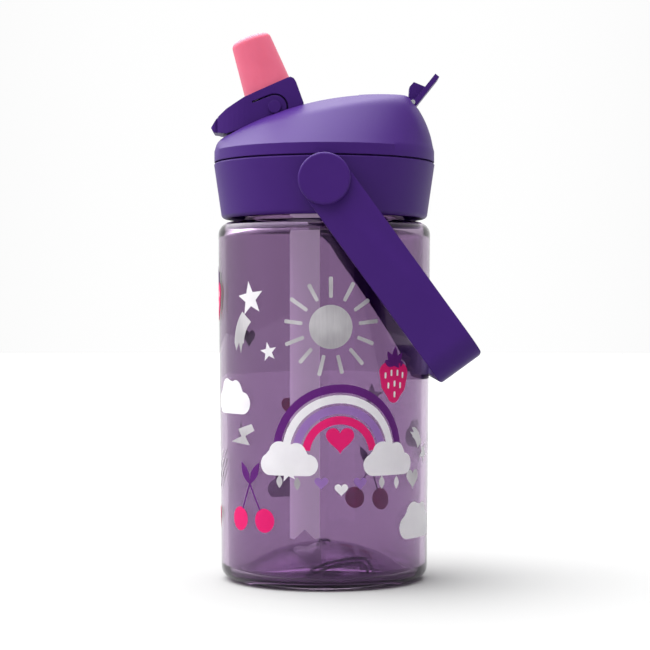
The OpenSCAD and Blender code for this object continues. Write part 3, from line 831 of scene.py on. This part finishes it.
def rainbow(azimuth, height):
    """Bands of a rainbow that rise from two clouds, with hearts and drops under them."""
    for ink, radius in (("purple", 23.5), ("white", 20.0), ("lilac", 16.5), ("magenta", 13.0)):
        put(ink, band(radius, 2.7, 172, 8), azimuth, height, z=-8)
    put("magenta", heart(9.6), azimuth, height, z=-2.5)
    put("white", cloud(22), azimuth, height, x=-18.0, z=-8.6)
    put("white", cloud(22), azimuth, height, x=18.4, z=-8.8)
    for x, z in ((-21.0, -19.0), (-14.6, -19.6), (15.2, -19.4), (21.6, -19.8)):
        put("silver", leaf(4.4, 2.2), azimuth, height, x=x, z=z)
    for x, z, ink in ((-6.4, -17.0, "lilac"), (0.4, -19.2, "white"), (7.0, -17.2, "lilac")):
        put(ink, heart(4.6), azimuth, height, x=x, z=z)


def layout():
    """The motifs in the places that they have round the body."""
    sun(3.4, 87.5)
    shooting_star(-42.3, 96.9)
    put("white", star(outer=3.3, inner=1.35, turn=10), -30.4, 79.2)
    strawberry(39.7, 69.5, turn=-3)
    put("white", cloud(23), -60.0, 64.5)
    bolt(-49.0, 50.4)
    cherries(-42.6, 22.8)
    put("white", star(outer=3.6, inner=1.5, turn=12), -19.5, 39.5)
    rainbow(8.3, 53.0)
    put("silver", heart(7.4), 55.5, 36.4)
    shooting_star(68.0, 44.5, turn=-112, size=0.66)
    put("white", cloud(24), 61.5, 22.6)
    strawberry(-86.0, 97.0)
    for i in range(3):
        put("silver", ray(48, -4.5, 4.5, 0.8), -77.0, 42.0 - 3.2 * i)
    put("magenta", heart(8.5), -88.0, 22.0)
    # round the back
    put("white", cloud(22), 180.0, 88.0)
    put("white", star(outer=5.2, inner=2.3), 150.0, 62.0)
    put("magenta", heart(9.0), -160.0, 58.0)
    put("silver", heart(7.0), -128.0, 84.0)
    cherries(152.0, 24.0)
    put("white", star(outer=3.6, inner=1.6), 130.0, 98.0)
    bolt(118.0, 74.0)
    put("white", cloud(20), 106.0, 50.0)
    put("white", star(outer=3.4, inner=1.5), -118.0, 50.0)
    put("white", cloud(20), -158.0, 30.0)
    put("white", star(outer=3.0, inner=1.3), 96.0, 86.0)


def print_piece(ink, shapes, material, shell):
    """All the shapes of one ink: flat shapes cut into strips and laid onto the body's wall."""
    parts = []
    for outline, azimuth, height in shapes:
        part = flat("shape", outline)
        bpy.ops.object.mode_set(mode="EDIT")
        xs = [x for x, _ in outline]
        for k in range(math.ceil(min(xs) / STRIP), math.floor(max(xs) / STRIP) + 1):
            bpy.ops.mesh.select_all(action="SELECT")
            bpy.ops.mesh.bisect(plane_co=(k * STRIP * MM, 0, 0), plane_no=ALONG_X)
        bpy.ops.mesh.select_all(action="SELECT")
        bpy.ops.mesh.quads_convert_to_tris()
        bpy.ops.object.mode_set(mode="OBJECT")
        for vertex in part.data.vertices:
            angle = vertex.co.x / BODY_R + math.radians(azimuth)
            r = BODY_R + MM
            vertex.co = (r * math.sin(angle), -r * math.cos(angle), vertex.co.z + height * MM)
        parts.append(part)
    bpy.ops.object.select_all(action="DESELECT")
    for part in parts:
        part.select_set(True)
    bpy.context.view_layer.objects.active = parts[0]
    bpy.ops.object.join()
    piece = named("print_" + ink)
    layer = PRINT_GAP + PRINT_T * (2.4 if ink == "white" else 1)
    finish_with(
        piece, "SHRINKWRAP", target=shell, wrap_method="NEAREST_SURFACEPOINT",
        wrap_mode="ABOVE_SURFACE", offset=layer,
    )
    bpy.ops.object.mode_set(mode="EDIT")
    bpy.ops.mesh.select_all(action="SELECT")
    bpy.ops.mesh.normals_make_consistent(inside=False)
    bpy.ops.object.mode_set(mode="OBJECT")
    outward = sum(p.normal.dot(Vector((p.center.x, p.center.y, 0))) for p in piece.data.polygons)
    if outward < 0:
        bpy.ops.object.mode_set(mode="EDIT")
        bpy.ops.mesh.flip_normals()
        bpy.ops.object.mode_set(mode="OBJECT")
    finish_with(piece, "SOLIDIFY", thickness=PRINT_T, offset=-1)
    return wear(piece, material, "bottle")


# ---------- build ----------

shell = bottle()
mould_marks()
dome()
handle()
layout()
INKS = {
    "white": INK_WHITE,
    "magenta": INK_MAGENTA,
    "purple": INK_PURPLE,
    "lilac": INK_LILAC,
    "silver": FOIL_SILVER,
}
for ink, material in INKS.items():
    print_piece(ink, PRINTS[ink], material, shell)

CAD_MATERIALS = {
    "cap_plastic": CAP_PLASTIC,
    "spout_silicone": SPOUT_SILICONE,
    "seal_silicone": SEAL_SILICONE,
    "smoke_plastic": SMOKE_PLASTIC,
    "pin_steel": PIN_STEEL,
    "clear_shell": CLEAR_SHELL,
}
for subpart in frame["record"]["subparts"]:
    node = frame["nodes"][subpart["node"]]
    node.data.materials.clear()
    node.data.materials.append(CAD_MATERIALS[subpart["material_slot"]])


# ---------- studio ----------

bpy.ops.mesh.primitive_plane_add(size=8, location=(0, 0, -0.3 * MM))
ground = named("studio_floor")
paper = Finish("studio_paper", roughness=0.9, specular_ior_level=0.0)
# painted shade: the paper's colour is a little darker round the bottle and reaches its full brightness 0.9 m away
away = paper.node("VectorMath", {"operation": "LENGTH"}, {0: paper.place}, "Value")
paper.drive("Base Color", paper.between((away / 0.9).clamped(), (0.318,) * 3, (0.330,) * 3))
ground.data.materials.append(paper.material)

KEY_FROM = Vector((-0.34, 0.12, 0.90)).normalized()
scene = bpy.context.scene
scene.view_settings.view_transform = "Standard"


class Sky(Finish):
    """Even white studio light, into which patches of brighter or dimmer light are set."""

    def __init__(self, name):
        world = bpy.data.worlds.new(name)
        world.use_nodes = True
        self.world, self.tree = world, world.node_tree
        self.shader = self.tree.nodes["Background"]
        self.shader.inputs["Color"].default_value = (1, 1, 1, 1)
        self.direction = self.node("TexCoord", output="Generated")

    def patch(self, towards, wide, narrow):
        """From 0 to 1 as a direction comes from wide to narrow, which are cosines, round another."""
        ends = {0: self.direction, 1: towards}
        facing = self.node("VectorMath", {"operation": "DOT_PRODUCT"}, ends, "Value")
        inputs = {0: facing, 1: wide, 2: narrow, 3: 0.0, 4: 1.0}
        return self.node("MapRange", {"interpolation_type": "SMOOTHSTEP"}, inputs)


sky = Sky("studio_sky")
key = sky.patch(KEY_FROM, 0.45, 0.95) * 6.0
front = sky.patch((0, -1, 0), 0.25, 0.85) * 0.5
left, right = (sky.patch((x, 0.25, 0), 0.3, 0.9) * 0.3 for x in (-1, 1))
sky.drive("Strength", 1.0 + key - front - left - right)
scene.world = sky.world

CAMERA_AWAY, CAMERA_Z, SEEN_W = 0.640, 0.0905, 0.2275
camera = bpy.data.cameras.new("camera")
camera.sensor_width = 36
camera.lens = camera.sensor_width * CAMERA_AWAY / SEEN_W
camera.shift_x, camera.shift_y = 0.0011, -0.0110
camera.clip_start, camera.clip_end = 0.01, 50
viewer = bpy.data.objects.new("camera", camera)
scene.collection.objects.link(viewer)
viewer.location = (0, -CAMERA_AWAY, CAMERA_Z)
viewer.rotation_euler = (math.radians(90), 0, 0)
scene.camera = viewer
